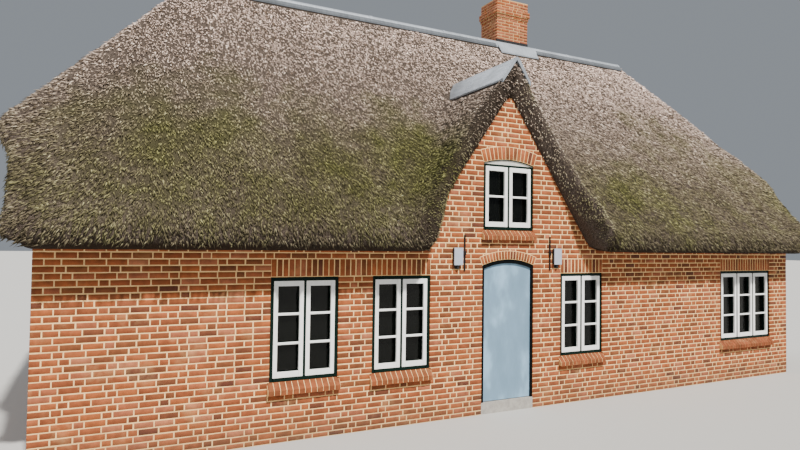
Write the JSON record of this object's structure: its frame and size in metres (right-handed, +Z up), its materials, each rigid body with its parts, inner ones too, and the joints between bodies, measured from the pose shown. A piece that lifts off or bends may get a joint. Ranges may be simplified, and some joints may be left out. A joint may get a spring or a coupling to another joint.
{
  "type": "thatched cottage",
  "caption": "Low brick cottage with a thick thatched roof, half hips, a cross gable over its arched door and a ridge stack; the door opens inwards.",
  "frame": {"origin": "centre of the object's base, at the lowest ground that its walls meet", "axes": "+X along the front, +Y from the front to the rear, +Z up"},
  "size_m": [14.08, 6.9, 7.85],
  "materials": {
    "brick": "fired clay, pale mortar",
    "thatch": "weathered reed with moss",
    "concrete": "float finish",
    "stone": "dressed stone",
    "boards": "sawn boards",
    "ridge_sheet": "dull sheet, weathered",
    "dark_paint": "satin paint",
    "door_paint": "satin paint",
    "white_paint": "satin paint",
    "glass": "clear pane",
    "lamp_shade": "satin paint",
    "iron": "black paint"
  },
  "bodies": {
    "house": {"floor_slab": "concrete", "loft_floor": "boards", "front_wall_left": "brick", "front_wall_right": "brick", "gable_wall": "brick", "rear_wall": "brick", "left_end_wall": "brick", "right_end_wall": "brick", "door_sill": "stone", "thatch_front_left": "thatch", "thatch_front_right": "thatch", "thatch_gable_left": "thatch", "thatch_gable_right": "thatch", "thatch_rear": "thatch", "thatch_left_half_hip": "thatch", "thatch_right_half_hip": "thatch", "ridge_cap": "ridge_sheet", "gable_ridge_cap": "ridge_sheet", "chimney": "brick", "door_frame": "dark_paint", "wall_lamp_left": "lamp_shade", "wall_lamp_right": "lamp_shade", "wall_anchor_left": "iron", "wall_anchor_right": "iron", "front_window_1_frame": "white_paint", "front_window_1_glass": "glass", "front_window_2_frame": "white_paint", "front_window_2_glass": "glass", "front_window_3_frame": "white_paint", "front_window_3_glass": "glass", "front_window_4_frame": "white_paint", "front_window_4_glass": "glass", "rear_window_1_frame": "white_paint", "rear_window_1_glass": "glass", "rear_window_2_frame": "white_paint", "rear_window_2_glass": "glass", "rear_window_3_frame": "white_paint", "rear_window_3_glass": "glass", "gable_window_frame": "white_paint", "gable_window_glass": "glass", "left_loft_window_frame": "white_paint", "left_loft_window_glass": "glass", "right_loft_window_frame": "white_paint", "right_loft_window_glass": "glass", "front_window_1_sill": "brick", "front_window_2_sill": "brick", "front_window_3_sill": "brick", "front_window_4_sill": "brick", "gable_window_sill": "brick"},
    "door": {"door_leaf": "door_paint"}
  },
  "joints": [
    {"name": "door_swing", "type": "hinge", "parent": "house", "child": "door", "pos_m": [-0.826, -2.916, 0.18], "axis": [0, 0, 1], "range_deg": [0, 90]}
  ]
}
